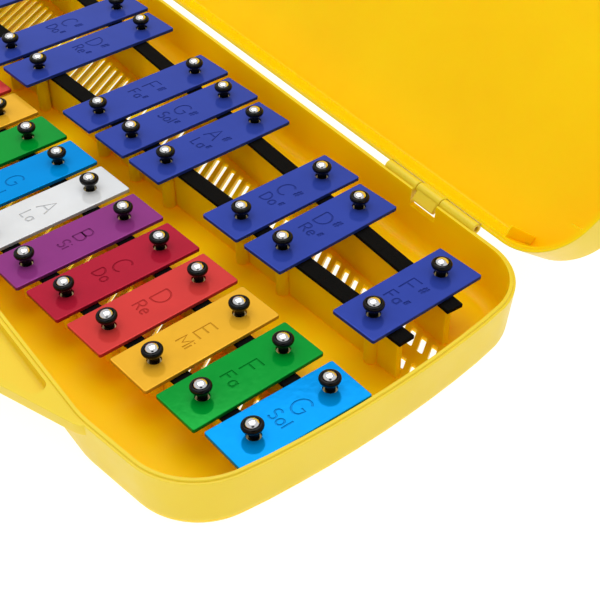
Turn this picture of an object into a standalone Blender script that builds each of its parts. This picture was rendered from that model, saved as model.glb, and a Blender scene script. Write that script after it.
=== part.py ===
"""A 25-note glockenspiel in a hinged plastic carrying case, open on a table.

The object stands on z = 0. X runs along the rows of bars, with the short, high
bars at +X, and the player sits at -Y. The case's lid is open, and leans back
behind the rows on two hinges. All lengths are in metres.
"""
import math

import bmesh
import bpy
from mathutils import Matrix, Vector

# Bars. Places along the rows are counted in steps of one natural bar from the middle bar.
PITCH = 0.028
LAST_STEP = 7
SHARP_STEPS = (-6.5, -5.5, -3.5, -2.5, -0.5, 0.5, 1.5, 3.5, 4.5, 6.5)
SHARP_SHIFT = -0.0006
BAR_WIDTH = 0.024
BAR_THICK = 0.002
NATURAL_TOP = 0.0204
SHARP_TOP = 0.02775
HOLE_RADIUS = 0.0031
LETTERS = "GABCDEF"

# Lines across the case, each as its y at the middle bar and its change per step to the right.
NATURAL_ENDS = ((-0.0753, 0.00199), (0.00566, -0.00088))
SHARP_ENDS = ((0.0112, 0.00037), (0.0944, -0.0030))
NATURAL_SCREWS = ((-0.06376, 0.00227), (-0.0087, -0.0003))
SHARP_SCREWS = ((0.0249, 0.0), (0.0818, -0.0029))
NATURAL_STRIPS = ((-0.0607, 0.00221), (-0.0159, -0.0003))
SHARP_STRIPS = ((0.0289, -0.00039), (0.07437, -0.00286))

# A bar has play on its screws, so some of them lie slightly turned, in degrees from above.
TURNED_BARS = {7.0: -2.1, 4.0: 0.6, 5.0: 0.5, 4.5: 0.6}

# Black strips under the bars, with the sleeves that hold the bars down on them.
FIT_GAP = 0.0003
STRIP_WIDTH = 0.008
STRIP_THICK = 0.002
STRIP_REACH = 0.1995
SLEEVE_FLANGE = 0.0043
SLEEVE_NECK = 0.0021
SLEEVE_HEAD = 0.00445
DOME_RADIUS = 0.0029
HEAD_BOTTOM = 0.0026
HEAD_TOP = 0.0060
DOME_TOP = 0.0075

# Case. Both halves have the same outline: a trapezoid, wider at the low notes.
HALF_DEPTH = 0.109
TAPER = 0.0865
RIGHT_END = 0.2176
LEFT_END = 0.2196
RIGHT_BOW = 1.0
LEFT_BOW = 0.5
CORNER_RADIUS = 0.0325
WALL = 0.0026
FLOOR = 0.0024
DRAFT = math.tan(math.radians(3))
RIM_Z = 0.0274
LID_DEPTH = 0.026
LID_GAP = 0.0004
OUTER_ROUND = 0.008
INNER_ROUND = 0.0055

# Handle, half of it on each half of the case, round a finger hole.
HANDLE_THICK = 0.007
HANDLE_WEB = 0.0025
HANDLE_FRONT = 0.1365
HOLE_CENTRE = (-0.008, -0.1015)
HOLE_SIZE = (0.096, 0.023)

# Ribs, posts and slots in the floor.
RIB_THICK = 0.003
RIB_REACH = 0.196
POST_RADIUS = 0.0032
SLOT_STEP = 0.0063
SLOT_WIDTH = 0.00265
SLOT_LEAN = math.radians(31.4)
SLOT_FOOT = 0.0059
SLOT_BRIDGE = 0.0063
NATURAL_SLOTS = (-0.038, -0.0235)
NATURAL_SLOT_WIDTH = 0.0016

# Hinges and lid.
AXIS_BACK = 0.0018
KNUCKLE_RADIUS = 0.0026
KNUCKLE_REACH = 0.0055
PIN_RADIUS = 0.001
HINGE_CENTRES = (-0.141, 0.141)
TONGUE_LENGTH = 0.0154
TONGUE_TAIL = 0.0047
NOTCH_DEPTH = 0.0077
HINGE_LENGTH = 0.060
LID_OPEN = math.radians(130)

# Latches on the handle's slanted edges.
LATCH_PIVOT_DROP = 0.005
LATCH_STANDOFF = 0.0022
LATCH_LENGTH = 0.016
EAR_LENGTH = 0.003
LATCH_PLATE = 0.0018
LATCH_HANG = math.radians(183.6)

COLOURS = {
    "G": (0.01, 0.30, 0.85), "A": (0.80, 0.82, 0.84), "B": (0.22, 0.03, 0.24),
    "C": (0.50, 0.02, 0.06), "D": (0.72, 0.04, 0.05), "E": (0.90, 0.50, 0.03),
    "F": (0.01, 0.30, 0.06), "sharp": (0.03, 0.05, 0.38),
}


# Scene, materials and outlines

def clear_scene():
    for item in list(bpy.data.objects):
        bpy.data.objects.remove(item, do_unlink=True)


def collection(name):
    found = bpy.data.collections.get(name)
    if found is None:
        found = bpy.data.collections.new(name)
        bpy.context.scene.collection.children.link(found)
    return found


def material(name, colour, roughness, metallic=0.0):
    found = bpy.data.materials.get(name)
    if found is None:
        found = bpy.data.materials.new(name)
        found.use_nodes = True
        shader = found.node_tree.nodes["Principled BSDF"]
        shader.inputs["Base Color"].default_value = (*colour, 1)
        shader.inputs["Roughness"].default_value = roughness
        shader.inputs["Metallic"].default_value = metallic
        found.diffuse_color = (*colour, 1)
    return found


def add_object(name, bm, finish=None):
    """Make an object of a bmesh, in the cutters' collection when it has no finish."""
    bmesh.ops.recalc_face_normals(bm, faces=bm.faces[:])
    mesh = bpy.data.meshes.new(name)
    bm.to_mesh(mesh)
    bm.free()
    item = bpy.data.objects.new(name, mesh)
    if finish is None:
        collection("cutters").objects.link(item)
        item.hide_render = True
        item.display_type = "WIRE"
    else:
        collection("glockenspiel").objects.link(item)
        mesh.materials.append(finish)
    return item


def smooth(item, angle=40):
    item.data.shade_smooth()
    item.data.set_sharp_from_angle(angle=math.radians(angle))


def combine(item, other, operation):
    step = item.modifiers.new(operation.lower(), "BOOLEAN")
    step.operation = operation
    step.solver = "EXACT"
    step.object = other


def evaluated_mesh(item):
    """The item's mesh with its modifiers carried out."""
    depsgraph = bpy.context.evaluated_depsgraph_get()
    return bpy.data.meshes.new_from_object(item.evaluated_get(depsgraph))


def rounded(corners, steps=6):
    """An outline of (x, y, radius) corners, with an arc at each corner that has a radius."""
    outline = []
    count = len(corners)
    for index, (x, y, radius) in enumerate(corners):
        here = Vector((x, y))
        before = (Vector(corners[index - 1][:2]) - here).normalized()
        after = (Vector(corners[(index + 1) % count][:2]) - here).normalized()
        turn = math.pi - before.angle(after)
        if radius == 0:
            outline.append(here)
            continue
        reach = radius * math.tan(turn / 2)
        centre = here + (before + after).normalized() * math.hypot(radius, reach)
        start = here + before * reach - centre
        side = 1 if before.cross(after) < 0 else -1
        arc_steps = max(1, round(steps * turn / (math.pi / 2)))
        for step in range(arc_steps + 1):
            angle = side * turn * step / arc_steps
            outline.append(centre + Matrix.Rotation(angle, 2) @ start)
    return outline


def inset(outline, distance):
    """A counterclockwise outline moved inwards by a distance, or outwards by a negative one."""
    moved = []
    count = len(outline)
    for index, here in enumerate(outline):
        ahead = (outline[(index + 1) % count] - here).normalized()
        behind = (here - outline[index - 1]).normalized()
        across = Vector((-ahead.y - behind.y, ahead.x + behind.x)).normalized()
        share = across.dot(Vector((-ahead.y, ahead.x)))
        moved.append(here + across * distance / share)
    return moved


def prism(name, outline, low, high, finish=None, draft=0.0):
    """A closed solid over an outline at the low height, drawn in by the draft at the high one."""
    bm = bmesh.new()
    top = inset(outline, abs(high - low) * draft) if draft else outline
    lower = [bm.verts.new((point.x, point.y, low)) for point in outline]
    upper = [bm.verts.new((point.x, point.y, high)) for point in top]
    bm.faces.new(lower)
    bm.faces.new(upper)
    count = len(outline)
    for index in range(count):
        after = (index + 1) % count
        bm.faces.new((lower[index], lower[after], upper[after], upper[index]))
    return add_object(name, bm, finish)


def tub(name, outline, rim, far, radius, over=0.0, finish=None):
    """A drafted block from a rim height to a far height, with its far edge rounded."""
    way = 1 if far > rim else -1
    item = prism(name, inset(outline, -over * DRAFT), rim - way * over, far, finish, DRAFT)
    mesh = item.data
    weights = mesh.attributes.new("bevel_weight_edge", "FLOAT", "EDGE")
    for edge in mesh.edges:
        ends = [mesh.vertices[index].co.z for index in edge.vertices]
        if max(abs(height - far) for height in ends) < 1e-6:
            weights.data[edge.index].value = 1.0
    step = item.modifiers.new("round", "BEVEL")
    step.limit_method = "WEIGHT"
    step.width = radius
    step.segments = 3
    return item


def add_cylinder(bm, start, end, radius, sides):
    """Add a closed cylinder between two points to a bmesh, lying on a flat side."""
    start, end = Vector(start), Vector(end)
    axis = end - start
    turn = axis.to_track_quat("Z", "Y").to_matrix().to_4x4()
    turn = turn @ Matrix.Rotation(math.pi / sides, 4, "Z")
    place = Matrix.Translation((start + end) / 2) @ turn
    bmesh.ops.create_cone(bm, cap_ends=True, segments=sides, radius1=radius, radius2=radius,
                          depth=axis.length, matrix=place)


def add_box(bm, low, high, place=None):
    """Add a closed box between two corners to a bmesh."""
    size = [b - a for a, b in zip(low, high)]
    centre = [(a + b) / 2 for a, b in zip(low, high)]
    scale = Matrix.Diagonal((*size, 1))
    matrix = (place or Matrix()) @ Matrix.Translation(centre) @ scale
    bmesh.ops.create_cube(bm, size=1.0, matrix=matrix)


def at(line, step):
    """A line's y at a step along the rows."""
    return line[0] + line[1] * step


def bar_x(step):
    """A bar's x. The sharps sit a little to the left of the gaps between the naturals."""
    return step * PITCH + (0.0 if step == int(step) else SHARP_SHIFT)


# Bars

def bar_rows():
    """Every bar's name, step, colour key, top height, end lines and screw lines."""
    naturals = range(-LAST_STEP, LAST_STEP + 1)
    for index, step in enumerate(naturals):
        letter = LETTERS[index % 7]
        name = f"bar_{letter}{index // 7 + 1}"
        yield name, float(step), letter, NATURAL_TOP, NATURAL_ENDS, NATURAL_SCREWS
    for step in SHARP_STEPS:
        index = math.floor(step) + LAST_STEP
        name = f"bar_{LETTERS[index % 7]}{index // 7 + 1}_sharp"
        yield name, step, "sharp", SHARP_TOP, SHARP_ENDS, SHARP_SCREWS


def make_bar(name, step, key, top, ends, screws):
    front, rear = at(ends[0], step), at(ends[1], step)
    finish = material(f"bar_{key}", COLOURS[key], 0.18)
    turn = Matrix.Rotation(math.radians(TURNED_BARS.get(step, 0.0)), 4, "Z")
    centre = Vector((bar_x(step), (front + rear) / 2, top - BAR_THICK / 2))
    bm = bmesh.new()
    half = (BAR_WIDTH / 2, (rear - front) / 2, BAR_THICK / 2)
    add_box(bm, [-side for side in half], half, Matrix.Translation(centre) @ turn)
    item = add_object(name, bm, finish)
    holes = bmesh.new()
    for line in screws:
        place = Vector((bar_x(step), at(line, step), top))
        drop = Vector((0, 0, BAR_THICK * 2))
        add_cylinder(holes, place - drop, place + drop, HOLE_RADIUS, 8)
    combine(item, add_object(f"{name}_holes", holes), "DIFFERENCE")


# Strips and sleeves

def sleeve_cutter(name, top, places):
    """One turned sleeve with its screw's dome, copied to every place in a row."""
    seat = top - BAR_THICK - FIT_GAP
    profile = (
        (0, top + DOME_TOP), (DOME_RADIUS, top + HEAD_TOP), (SLEEVE_HEAD - 0.0009, top + HEAD_TOP),
        (SLEEVE_HEAD, top + (HEAD_TOP + HEAD_BOTTOM) / 2), (SLEEVE_NECK, top + HEAD_BOTTOM),
        (SLEEVE_NECK, seat), (SLEEVE_FLANGE, seat), (SLEEVE_FLANGE, seat - STRIP_THICK * 0.8),
        (0, seat - STRIP_THICK * 0.8),
    )
    bm = bmesh.new()
    for radius, height in profile:
        bm.verts.new((radius, 0, height))
    bm.verts.ensure_lookup_table()
    for before, after in zip(bm.verts[:-1], bm.verts[1:]):
        bm.edges.new((before, after))
    turned = add_object(f"{name}_profile", bm)
    step = turned.modifiers.new("turn", "SCREW")
    step.steps = 8
    step.render_steps = 8
    step.use_merge_vertices = True
    step.merge_threshold = 0.00001
    mesh = evaluated_mesh(turned)
    bpy.data.objects.remove(turned)
    row = bmesh.new()
    for x, y in places:
        before = len(row.verts)
        row.from_mesh(mesh)
        row.verts.ensure_lookup_table()
        bmesh.ops.translate(row, vec=(x, y, 0), verts=row.verts[before:])
    return add_object(name, row)


def line_outline(line, first, last, width):
    """The outline of a straight band along a line, between two x places."""
    slope = line[1] / PITCH
    across = Vector((-slope, 1)).normalized() * width / 2
    ends = [Vector((x, line[0] + slope * x)) for x in (first, last)]
    return [ends[0] - across, ends[1] - across, ends[1] + across, ends[0] + across]


def make_strip(name, line, screws, steps, top):
    seat = top - BAR_THICK - FIT_GAP
    finish = material("black_rubber", (0.012, 0.012, 0.013), 0.55)
    outline = line_outline(line, -STRIP_REACH, STRIP_REACH, STRIP_WIDTH)
    item = prism(name, outline, seat - STRIP_THICK, seat, finish)
    places = [(bar_x(step), at(screws, step)) for step in steps]
    combine(item, sleeve_cutter(f"{name}_sleeves", top, places), "UNION")


def make_strips():
    naturals = [float(step) for step in range(-LAST_STEP, LAST_STEP + 1)]
    rows = (("natural", NATURAL_STRIPS, NATURAL_SCREWS, naturals, NATURAL_TOP),
            ("sharp", SHARP_STRIPS, SHARP_SCREWS, SHARP_STEPS, SHARP_TOP))
    for row, lines, screws, steps, top in rows:
        for side, line, screw_line in zip(("front", "rear"), lines, screws):
            make_strip(f"{row}_{side}_strip", line, screw_line, steps, top)


# Case

def end_wall(side, end, bow):
    """Corners of an end wall, bowed outwards, from its front corner to its rear one."""
    corner_x = end - bow * (HALF_DEPTH - TAPER * side * end) ** 2
    corner_y = HALF_DEPTH - TAPER * side * corner_x
    points = [(side * corner_x, -corner_y, CORNER_RADIUS)]
    for share in (-0.5, 0.0, 0.5):
        y = share * corner_y
        points.append((side * (end - bow * y * y), y, 0))
    points.append((side * corner_x, corner_y, CORNER_RADIUS))
    return points


def case_outline():
    """The deep part's outline. Its front wall stands back behind the finger hole."""
    right = end_wall(1, RIGHT_END, RIGHT_BOW)
    left = end_wall(-1, LEFT_END, LEFT_BOW)
    recess = [(-0.150, -0.122, 0), (-0.050, -0.0835, 0.06), (0.020, -0.0835, 0.30), (0.153, -0.0957, 0)]
    return rounded(right + left[::-1] + recess)


def handle_outline():
    inner = [(0.162, -0.090, 0), (0.020, -0.076, 0), (-0.050, -0.076, 0), (-0.165, -0.112, 0)]
    outer = [(-0.156, -0.1225, 0), (-0.070, -HANDLE_FRONT, 0.06), (0.023, -HANDLE_FRONT, 0.08),
             (0.157, -0.0969, 0)]
    return rounded(inner + outer)


def handle_pocket():
    edge = HANDLE_FRONT - WALL
    return rounded([(0.150, -0.0957, 0), (0.020, -0.0837, 0.30), (-0.050, -0.0837, 0.06),
                    (-0.1465, -0.1209, 0), (-0.070, -edge, 0.057), (0.023, -edge, 0.077)])


def finger_hole(margin):
    x, y = HOLE_CENTRE
    half_x, half_y = HOLE_SIZE[0] / 2 + margin, HOLE_SIZE[1] / 2 + margin
    radius = 0.009 + margin
    return rounded([(x - half_x, y - half_y, radius), (x + half_x, y - half_y, radius),
                    (x + half_x, y + half_y, radius), (x - half_x, y + half_y, radius)])


def make_shell(name, rim, depth, finish):
    """Half of the case: its deep part, and its half of the handle round the finger hole."""
    way = 1 if depth > 0 else -1
    outline = case_outline()
    over = 0.004
    shell = tub(name, outline, rim, rim + depth, OUTER_ROUND, finish=finish)
    handle_far = rim + way * HANDLE_THICK
    flange = tub(f"{name}_flange", handle_outline(), rim, handle_far, 0.002)
    pocket = tub(f"{name}_pocket", inset(outline, WALL), rim, rim + depth - way * FLOOR, INNER_ROUND, over)
    web_top = handle_far - way * HANDLE_WEB
    recess = tub(f"{name}_recess", handle_pocket(), rim, web_top, 0.0008, over)
    collar = prism(f"{name}_collar", finger_hole(HANDLE_WEB), web_top + way * 0.001, rim)
    hole = prism(f"{name}_hole", finger_hole(0), rim - way * over, handle_far + way * over)
    combine(shell, flange, "UNION")
    combine(shell, pocket, "DIFFERENCE")
    combine(shell, recess, "DIFFERENCE")
    combine(shell, collar, "UNION")
    combine(shell, hole, "DIFFERENCE")
    return shell


# Ribs, posts and slots

def rib_cutter():
    """A rib under each strip, from the floor to just under it."""
    bm = bmesh.new()
    for lines, top in ((NATURAL_STRIPS, NATURAL_TOP), (SHARP_STRIPS, SHARP_TOP)):
        high = top - BAR_THICK - STRIP_THICK - 2 * FIT_GAP
        for line in lines:
            turn = Matrix.Rotation(math.atan(line[1] / PITCH), 4, "Z")
            place = Matrix.Translation((0, line[0], 0)) @ turn
            low = (-RIB_REACH, -RIB_THICK / 2, FLOOR / 2)
            add_box(bm, low, (RIB_REACH, RIB_THICK / 2, high), place)
    return add_object("ribs", bm)


def post_cutter():
    """A post under each screw."""
    bm = bmesh.new()
    for _, step, _, top, _, screws in bar_rows():
        high = top - BAR_THICK - STRIP_THICK - 2 * FIT_GAP - 0.0002
        for line in screws:
            spot = (bar_x(step), at(line, step))
            add_cylinder(bm, (*spot, FLOOR / 2), (*spot, high), POST_RADIUS, 8)
    return add_object("posts", bm)


def add_slot(bm, x, low, high, width=SLOT_WIDTH):
    """Add a leaning slot, between two y places, whose foot is at x where y is zero."""
    tilt = math.tan(SLOT_LEAN)
    half = width / 2 / math.cos(SLOT_LEAN)
    corners = [(x - tilt * y + side * half, y) for y, side in ((low, -1), (low, 1), (high, 1), (high, -1))]
    bottom = [bm.verts.new((*corner, -FLOOR)) for corner in corners]
    top = [bm.verts.new((*corner, 2 * FLOOR)) for corner in corners]
    bm.faces.new(bottom)
    bm.faces.new(top)
    for index in range(4):
        after = (index + 1) % 4
        bm.faces.new((bottom[index], bottom[after], top[after], top[index]))


def slot_cutter():
    """Leaning slots through the floor between each row's two ribs, with a bridge in the sharps' field."""
    bm = bmesh.new()
    margin = 0.0045
    tilt = math.tan(SLOT_LEAN)
    for index in range(-30, 32):
        foot = index * SLOT_STEP
        x = foot + 0.0285
        low = at(SHARP_STRIPS[0], (x - tilt * 0.03) / PITCH) + margin
        high = at(SHARP_STRIPS[1], (x - tilt * 0.06) / PITCH) - margin
        add_slot(bm, x, low, low + SLOT_FOOT)
        add_slot(bm, x, low + SLOT_FOOT + SLOT_BRIDGE, high)
        add_slot(bm, foot - 0.0225, *NATURAL_SLOTS, NATURAL_SLOT_WIDTH)
    return add_object("slots", bm)


# Hinges

def hinge_frame():
    """The lid's hinge axis: its origin is the axis's middle, and its x runs along the axis."""
    angle = math.atan(TAPER)
    back = HALF_DEPTH + AXIS_BACK / math.cos(angle)
    return Matrix.Translation((0, back, RIM_Z)) @ Matrix.Rotation(-angle, 4, "Z")


def add_rod(bm, first, last, radius, sides=14):
    """Add a rod along the hinge axis between two places on it."""
    frame = hinge_frame()
    add_cylinder(bm, frame @ Vector((first, 0, 0)), frame @ Vector((last, 0, 0)), radius, sides)


def hinge_spans():
    """The tray's knuckles and the lid's tongues, as places along the axis."""
    knuckles, tongues = [], []
    for centre in HINGE_CENTRES:
        tongue = (centre - TONGUE_LENGTH / 2, centre + TONGUE_LENGTH / 2)
        gap = LID_GAP
        knuckles.append((centre - HINGE_LENGTH / 2, tongue[0] - gap))
        knuckles.append((tongue[1] + gap, centre + HINGE_LENGTH / 2))
        tongues.append(tongue)
    return knuckles, tongues


def add_knuckles(shell, spans, way):
    """Round knuckles on the axis, each on a web that reaches the shell's rear wall."""
    for kind in ("rods", "webs"):
        bm = bmesh.new()
        for first, last in spans:
            if kind == "rods":
                add_rod(bm, first, last, KNUCKLE_RADIUS)
            else:
                heights = sorted((way * 0.0009, way * KNUCKLE_REACH))
                low = (first + 0.0005, -AXIS_BACK - 0.0012, heights[0])
                add_box(bm, low, (last - 0.0005, 0.0, heights[1]), hinge_frame())
        combine(shell, add_object(f"{shell.name}_{kind}", bm), "UNION")


def clear_knuckles(shell, spans):
    """Room in a rear wall for the other half's knuckles."""
    bm = bmesh.new()
    for first, last in spans:
        add_rod(bm, first - 0.0006, last + 0.0006, KNUCKLE_RADIUS + LID_GAP, 18)
    combine(shell, add_object(f"{shell.name}_relief", bm), "DIFFERENCE")


def notch_wall(tray, spans):
    """Notches through the tray's rear wall, where the lid's tongues pass."""
    bm = bmesh.new()
    for first, last in spans:
        low = (first - 0.0006, -AXIS_BACK - WALL - 0.002, -NOTCH_DEPTH)
        add_box(bm, low, (last + 0.0006, 0.003, 0.004), hinge_frame())
    combine(tray, add_object("tray_notches", bm), "DIFFERENCE")


def add_tails(lid, spans):
    """A tail on each tongue, which swings down into the tray's notch as the lid opens."""
    bm = bmesh.new()
    for first, last in spans:
        add_box(bm, (first + 0.0009, 0, -0.0022), (last - 0.0009, TONGUE_TAIL, 0.0006), hinge_frame())
    combine(lid, add_object("lid_tails", bm), "UNION")


def drill_pins(shell):
    bm = bmesh.new()
    for centre in HINGE_CENTRES:
        add_rod(bm, centre - HINGE_LENGTH, centre + HINGE_LENGTH, PIN_RADIUS + FIT_GAP, 10)
    combine(shell, add_object(f"{shell.name}_pin_holes", bm), "DIFFERENCE")


def make_hinge_pins():
    finish = material("copper_pin", (0.55, 0.27, 0.14), 0.35, 1.0)
    for side, centre in zip(("left", "right"), HINGE_CENTRES):
        bm = bmesh.new()
        half = HINGE_LENGTH / 2 - 0.001
        add_rod(bm, centre - half, centre + half, PIN_RADIUS, 10)
        add_object(f"{side}_hinge_pin", bm, finish)


# Latches

def latch_frame(side):
    """A latch's pivot: x along the handle's slanted edge, y outwards from it."""
    ends = {"right": ((0.157, -0.0969), (0.023, -HANDLE_FRONT)),
            "left": ((-0.070, -HANDLE_FRONT), (-0.156, -0.1225))}[side]
    first, last = Vector(ends[0]), Vector(ends[1])
    along = (last - first).normalized()
    share = {"right": 0.58, "left": 0.5}[side]
    place = first.lerp(last, share)
    outward = Vector((-along.y, along.x)) * (1 if along.x < 0 else -1)
    if outward.y > 0:
        outward = -outward
    place = place + outward * LATCH_STANDOFF
    angle = math.atan2(outward.y, outward.x) - math.pi / 2
    height = RIM_Z - LATCH_PIVOT_DROP
    return Matrix.Translation((place.x, place.y, height)) @ Matrix.Rotation(angle, 4, "Z")


def add_latch_ears(tray):
    """Two ears for each latch's pin, on webs to the handle's outer wall."""
    half = LATCH_LENGTH / 2 + LID_GAP
    bm, webs = bmesh.new(), bmesh.new()
    for side in ("left", "right"):
        frame = latch_frame(side)
        for way in (-1, 1):
            ends = sorted((way * half, way * (half + EAR_LENGTH)))
            add_cylinder(bm, frame @ Vector((ends[0], 0, 0)), frame @ Vector((ends[1], 0, 0)), 0.0019, 12)
            low = (ends[0] + 0.0003, -LATCH_STANDOFF - 0.0014, -0.0013)
            add_box(webs, low, (ends[1] - 0.0003, 0, 0.0014), frame)
    combine(tray, add_object("latch_ears", bm), "UNION")
    combine(tray, add_object("latch_webs", webs), "UNION")


def drill_latch_pins(item, sides):
    bm = bmesh.new()
    for side in sides:
        frame = latch_frame(side)
        add_cylinder(bm, frame @ Vector((-0.014, 0, 0)), frame @ Vector((0.014, 0, 0)), 0.0011, 10)
    combine(item, add_object(f"{item.name}_pin_hole", bm), "DIFFERENCE")


def make_latch(side, finish):
    """A clip that hangs from its pin, and swings up to hook over the closed lid's handle."""
    frame = latch_frame(side)
    half = LATCH_LENGTH / 2
    reach = LATCH_PIVOT_DROP + LID_GAP + HANDLE_THICK + 0.0004
    bm = bmesh.new()
    add_cylinder(bm, (-half, 0, 0), (half, 0, 0), 0.0019, 14)
    name = f"{side}_latch"
    clip = add_object(f"{name}_body", bm, finish)
    plate = bmesh.new()
    inner = -0.0011
    add_box(plate, (-half + 0.0003, inner, 0.0), (half - 0.0003, inner + LATCH_PLATE, reach + 0.0016))
    combine(clip, add_object(f"{name}_plate", plate), "UNION")
    hook = bmesh.new()
    add_box(hook, (-half + 0.0007, -LATCH_STANDOFF - 0.002, reach), (half - 0.0007, 0.0, reach + 0.0013))
    combine(clip, add_object(f"{name}_hook", hook), "UNION")
    hole = bmesh.new()
    add_cylinder(hole, (-0.014, 0, 0), (0.014, 0, 0), 0.0011, 10)
    combine(clip, add_object(f"{name}_hole", hole), "DIFFERENCE")
    mesh = evaluated_mesh(clip)
    bpy.data.objects.remove(clip)
    latch = bpy.data.objects.new(name, mesh)
    collection("glockenspiel").objects.link(latch)
    latch.matrix_world = frame @ Matrix.Rotation(-LATCH_HANG, 4, "X")
    smooth(latch)
    pin = bmesh.new()
    end = half + EAR_LENGTH
    add_cylinder(pin, frame @ Vector((-end, 0, 0)), frame @ Vector((end, 0, 0)), 0.0008, 8)
    steel = material("steel_pin", (0.6, 0.6, 0.62), 0.3, 1.0)
    smooth(add_object(f"{side}_latch_pin", pin, steel))


# The two halves of the case

def make_tray(finish):
    tray = make_shell("tray", RIM_Z, -RIM_Z, finish)
    combine(tray, rib_cutter(), "UNION")
    combine(tray, post_cutter(), "UNION")
    combine(tray, slot_cutter(), "DIFFERENCE")
    knuckles, tongues = hinge_spans()
    notch_wall(tray, tongues)
    add_knuckles(tray, knuckles, -1)
    drill_pins(tray)
    add_latch_ears(tray)
    drill_latch_pins(tray, ("left", "right"))


def make_lid(finish):
    """The lid is made closed, and then stands open on its hinge axis."""
    closed = make_shell("lid_closed", RIM_Z + LID_GAP, LID_DEPTH, finish)
    knuckles, tongues = hinge_spans()
    clear_knuckles(closed, knuckles)
    add_knuckles(closed, tongues, 1)
    add_tails(closed, tongues)
    drill_pins(closed)
    mesh = evaluated_mesh(closed)
    bpy.data.objects.remove(closed)
    frame = hinge_frame()
    mesh.transform(frame.inverted())
    lid = bpy.data.objects.new("lid", mesh)
    collection("glockenspiel").objects.link(lid)
    lid.matrix_world = frame @ Matrix.Rotation(-LID_OPEN, 4, "X")
    smooth(lid)


def main():
    clear_scene()
    yellow = material("yellow_plastic", (0.86, 0.58, 0.02), 0.42)
    make_tray(yellow)
    make_lid(yellow)
    make_hinge_pins()
    for side in ("left", "right"):
        make_latch(side, yellow)
    make_strips()
    for bar in bar_rows():
        make_bar(*bar)


main()
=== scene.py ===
"""The glockenspiel's looks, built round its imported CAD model."""

import math
import random

import bmesh
import bpy
import numpy as np
from mathutils import Matrix, Vector


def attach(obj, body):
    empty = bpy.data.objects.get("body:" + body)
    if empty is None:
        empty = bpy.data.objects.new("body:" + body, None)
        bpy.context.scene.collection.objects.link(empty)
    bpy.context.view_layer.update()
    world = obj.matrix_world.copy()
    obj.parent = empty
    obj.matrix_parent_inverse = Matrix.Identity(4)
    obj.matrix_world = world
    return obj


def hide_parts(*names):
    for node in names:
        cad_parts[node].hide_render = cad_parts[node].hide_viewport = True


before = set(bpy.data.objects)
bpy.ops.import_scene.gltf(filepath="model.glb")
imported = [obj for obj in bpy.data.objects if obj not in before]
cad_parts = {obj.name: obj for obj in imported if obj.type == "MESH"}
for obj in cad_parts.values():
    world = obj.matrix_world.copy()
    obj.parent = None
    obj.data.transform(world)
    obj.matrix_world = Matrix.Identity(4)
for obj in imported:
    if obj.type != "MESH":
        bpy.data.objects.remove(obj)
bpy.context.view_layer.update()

# Sizes that the CAD model has too, in metres.
PITCH = 0.028
LAST_STEP = 7
SHARP_STEPS = (-6.5, -5.5, -3.5, -2.5, -0.5, 0.5, 1.5, 3.5, 4.5, 6.5)
SHARP_SHIFT = -0.0006
BAR_WIDTH = 0.024
BAR_THICK = 0.002
NATURAL_TOP = 0.0204
SHARP_TOP = 0.02775
HOLE_RADIUS = 0.0031
LETTERS = "GABCDEF"
SYLLABLES = {"G": "Sol", "A": "La", "B": "Si", "C": "Do", "D": "Re", "E": "Mi", "F": "Fa"}
NATURAL_ENDS = ((-0.0753, 0.00199), (0.00566, -0.00088))
SHARP_ENDS = ((0.0112, 0.00037), (0.0944, -0.0030))
NATURAL_SCREWS = ((-0.06376, 0.00227), (-0.0087, -0.0003))
SHARP_SCREWS = ((0.0249, 0.0), (0.0818, -0.0029))
NATURAL_STRIPS = ((-0.0607, 0.00221), (-0.0159, -0.0003))
SHARP_STRIPS = ((0.0289, -0.00039), (0.07437, -0.00286))
TURNED_BARS = {7.0: -2.1, 4.0: 0.6, 5.0: 0.5, 4.5: 0.6}
FIT_GAP = 0.0003
STRIP_WIDTH = 0.008
STRIP_THICK = 0.002
STRIP_REACH = 0.1995
HALF_DEPTH = 0.109
TAPER = 0.0865
RIGHT_END = 0.2176
LEFT_END = 0.2196
RIGHT_BOW = 1.0
LEFT_BOW = 0.5
CORNER_RADIUS = 0.0325
WALL = 0.0026
FLOOR = 0.0024
DRAFT = math.tan(math.radians(3))
RIM_Z = 0.0274
LID_DEPTH = 0.026
LID_GAP = 0.0004
OUTER_ROUND = 0.008
HANDLE_THICK = 0.007
HANDLE_WEB = 0.0025
HANDLE_FRONT = 0.1365
HOLE_CENTRE = (-0.008, -0.1015)
HOLE_SIZE = (0.096, 0.023)
RIB_THICK = 0.003
RIB_REACH = 0.196
POST_RADIUS = 0.0032
SLOT_STEP = 0.0063
SLOT_WIDTH = 0.00265
SLOT_LEAN = math.radians(31.4)
SLOT_FOOT = 0.0059
SLOT_BRIDGE = 0.0063
NATURAL_SLOTS = (-0.038, -0.0235)
NATURAL_SLOT_WIDTH = 0.0016
AXIS_BACK = 0.0018
KNUCKLE_RADIUS = 0.0026
KNUCKLE_REACH = 0.0055
PIN_RADIUS = 0.001
HINGE_CENTRES = (-0.141, 0.141)
TONGUE_LENGTH = 0.0154
NOTCH_DEPTH = 0.0077
HINGE_LENGTH = 0.060
LID_OPEN = math.radians(130)
LATCH_PIVOT_DROP = 0.005
LATCH_STANDOFF = 0.0022
LATCH_LENGTH = 0.016
EAR_LENGTH = 0.003
LATCH_PLATE = 0.0018
LATCH_HANG = math.radians(183.6)

# Sizes that differ from the CAD model's, or that it has no use for.
INNER_ROUND = 0.0065
LID_INNER_ROUND = 0.0016
LID_OUTER_ROUND = 0.005
TONGUE_TAIL = 0.0064
BAR_CORNER = 0.0010
BAR_EDGE = 0.00045

# Engraving. A letter's space is a share of its height.
GROOVE_RADIUS = 0.00058
GROOVE_LIFT = 0.00022
LETTER_SPACE = 0.22
LETTER_HEIGHT = 0.0087
SYLLABLE_HEIGHT = 0.0058

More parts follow.
